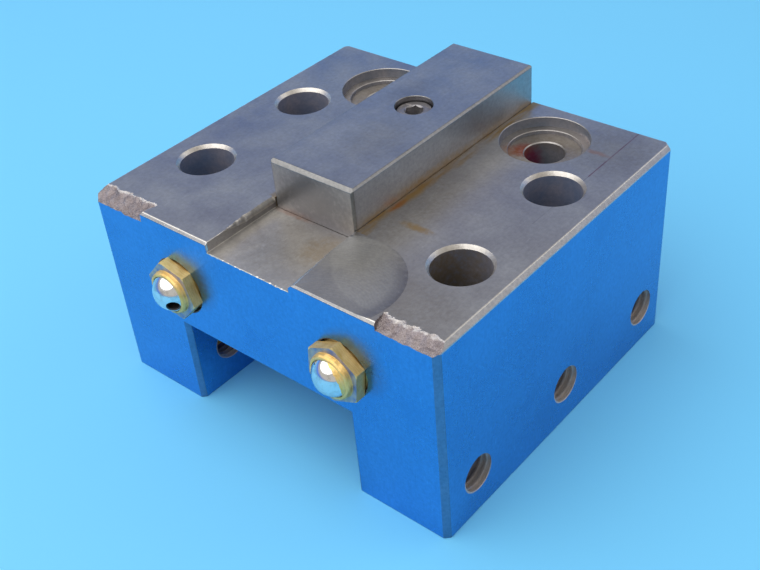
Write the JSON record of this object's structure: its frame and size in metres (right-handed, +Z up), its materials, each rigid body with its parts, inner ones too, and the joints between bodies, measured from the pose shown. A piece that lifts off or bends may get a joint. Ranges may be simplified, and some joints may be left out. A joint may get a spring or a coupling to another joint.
{
  "type": "turret tool block",
  "caption": "Inverted-U steel turning-tool block that bolts to a lathe turret, with a locating key, ball coolant nozzles and tool-clamping screws.",
  "frame": {"origin": "under the middle of the part's bounding box, at the level of the two feet", "axes": "+X across the block to the right as seen from the nozzles, +Y from the nozzle face to the back, +Z up out of the keyed face"},
  "size_m": [0.1, 0.0946, 0.062],
  "materials": {
    "block_steel": "ground, oiled and worn",
    "key_steel": "ground",
    "screw_steel": "black oxide",
    "brass": "turned, dull",
    "ball_steel": "polished",
    "seat_plastic": "machined",
    "seal_rubber": "matte"
  },
  "bodies": {
    "block": {"tool_block": "block_steel", "locating_key": "key_steel", "key_screw": "screw_steel", "left_nozzle_retainer": "brass", "left_nozzle_seal_ring": "seal_rubber", "right_nozzle_retainer": "brass", "right_nozzle_seal_ring": "seal_rubber"},
    "left_seat": {"left_nozzle_seat": "seat_plastic"},
    "left_ball": {"left_nozzle_ball": "ball_steel"},
    "left_front_pad": {"left_front_clamp_pad": "brass"},
    "left_front_screw": {"left_front_clamp_screw": "screw_steel"},
    "left_middle_pad": {"left_middle_clamp_pad": "brass"},
    "left_middle_screw": {"left_middle_clamp_screw": "screw_steel"},
    "left_rear_pad": {"left_rear_clamp_pad": "brass"},
    "left_rear_screw": {"left_rear_clamp_screw": "screw_steel"},
    "right_seat": {"right_nozzle_seat": "seat_plastic"},
    "right_ball": {"right_nozzle_ball": "ball_steel"},
    "right_front_pad": {"right_front_clamp_pad": "brass"},
    "right_front_screw": {"right_front_clamp_screw": "screw_steel"},
    "right_middle_pad": {"right_middle_clamp_pad": "brass"},
    "right_middle_screw": {"right_middle_clamp_screw": "screw_steel"},
    "right_rear_pad": {"right_rear_clamp_pad": "brass"},
    "right_rear_screw": {"right_rear_clamp_screw": "screw_steel"}
  },
  "joints": [
    {"name": "left_nozzle_spin", "type": "hinge", "parent": "block", "child": "left_seat", "pos_m": [-0.0244, -0.04238, 0.0354], "axis": [0, 1, 0], "continuous": true},
    {"name": "left_nozzle_tilt", "type": "hinge", "parent": "left_seat", "child": "left_ball", "pos_m": [-0.0244, -0.04238, 0.0354], "axis": [0.4368, 0, 0.8996], "range_deg": [-45, 3]},
    {"name": "left_front_screw_advance", "type": "slide", "parent": "block", "child": "left_front_pad", "axis": [1, 0, 0], "range_m": [-0.0065, 0.013]},
    {"name": "left_front_screw_turn", "type": "hinge", "parent": "left_front_pad", "child": "left_front_screw", "pos_m": [-0.0435, -0.02927, 0.0106], "axis": [1, 0, 0], "range_deg": [-1560, 3120]},
    {"name": "left_middle_screw_advance", "type": "slide", "parent": "block", "child": "left_middle_pad", "axis": [1, 0, 0], "range_m": [-0.0065, 0.013]},
    {"name": "left_middle_screw_turn", "type": "hinge", "parent": "left_middle_pad", "child": "left_middle_screw", "pos_m": [-0.0435, 0.00428, 0.0106], "axis": [1, 0, 0], "range_deg": [-1560, 3120]},
    {"name": "left_rear_screw_advance", "type": "slide", "parent": "block", "child": "left_rear_pad", "axis": [1, 0, 0], "range_m": [-0.0065, 0.013]},
    {"name": "left_rear_screw_turn", "type": "hinge", "parent": "left_rear_pad", "child": "left_rear_screw", "pos_m": [-0.0435, 0.03782, 0.0106], "axis": [1, 0, 0], "range_deg": [-1560, 3120]},
    {"name": "right_nozzle_spin", "type": "hinge", "parent": "block", "child": "right_seat", "pos_m": [0.0244, -0.04238, 0.0354], "axis": [0, 1, 0], "continuous": true},
    {"name": "right_nozzle_tilt", "type": "hinge", "parent": "right_seat", "child": "right_ball", "pos_m": [0.0244, -0.04238, 0.0354], "axis": [0.4368, 0, -0.8996], "range_deg": [-45, 3]},
    {"name": "right_front_screw_advance", "type": "slide", "parent": "block", "child": "right_front_pad", "axis": [-1, 0, 0], "range_m": [-0.0065, 0.013]},
    {"name": "right_front_screw_turn", "type": "hinge", "parent": "right_front_pad", "child": "right_front_screw", "pos_m": [0.0435, -0.02927, 0.0106], "axis": [-1, 0, 0], "range_deg": [-1560, 3120]},
    {"name": "right_middle_screw_advance", "type": "slide", "parent": "block", "child": "right_middle_pad", "axis": [-1, 0, 0], "range_m": [-0.0065, 0.013]},
    {"name": "right_middle_screw_turn", "type": "hinge", "parent": "right_middle_pad", "child": "right_middle_screw", "pos_m": [0.0435, 0.00428, 0.0106], "axis": [-1, 0, 0], "range_deg": [-1560, 3120]},
    {"name": "right_rear_screw_advance", "type": "slide", "parent": "block", "child": "right_rear_pad", "axis": [-1, 0, 0], "range_m": [-0.0065, 0.013]},
    {"name": "right_rear_screw_turn", "type": "hinge", "parent": "right_rear_pad", "child": "right_rear_screw", "pos_m": [0.0435, 0.03782, 0.0106], "axis": [-1, 0, 0], "range_deg": [-1560, 3120]}
  ],
  "couplings": [
    {"joint": "left_front_screw_turn", "follows": "left_front_screw_advance", "rad_per_m": 4188.7},
    {"joint": "left_middle_screw_turn", "follows": "left_middle_screw_advance", "rad_per_m": 4188.7},
    {"joint": "left_rear_screw_turn", "follows": "left_rear_screw_advance", "rad_per_m": 4188.7},
    {"joint": "right_front_screw_turn", "follows": "right_front_screw_advance", "rad_per_m": 4188.7},
    {"joint": "right_middle_screw_turn", "follows": "right_middle_screw_advance", "rad_per_m": 4188.7},
    {"joint": "right_rear_screw_turn", "follows": "right_rear_screw_advance", "rad_per_m": 4188.7}
  ]
}
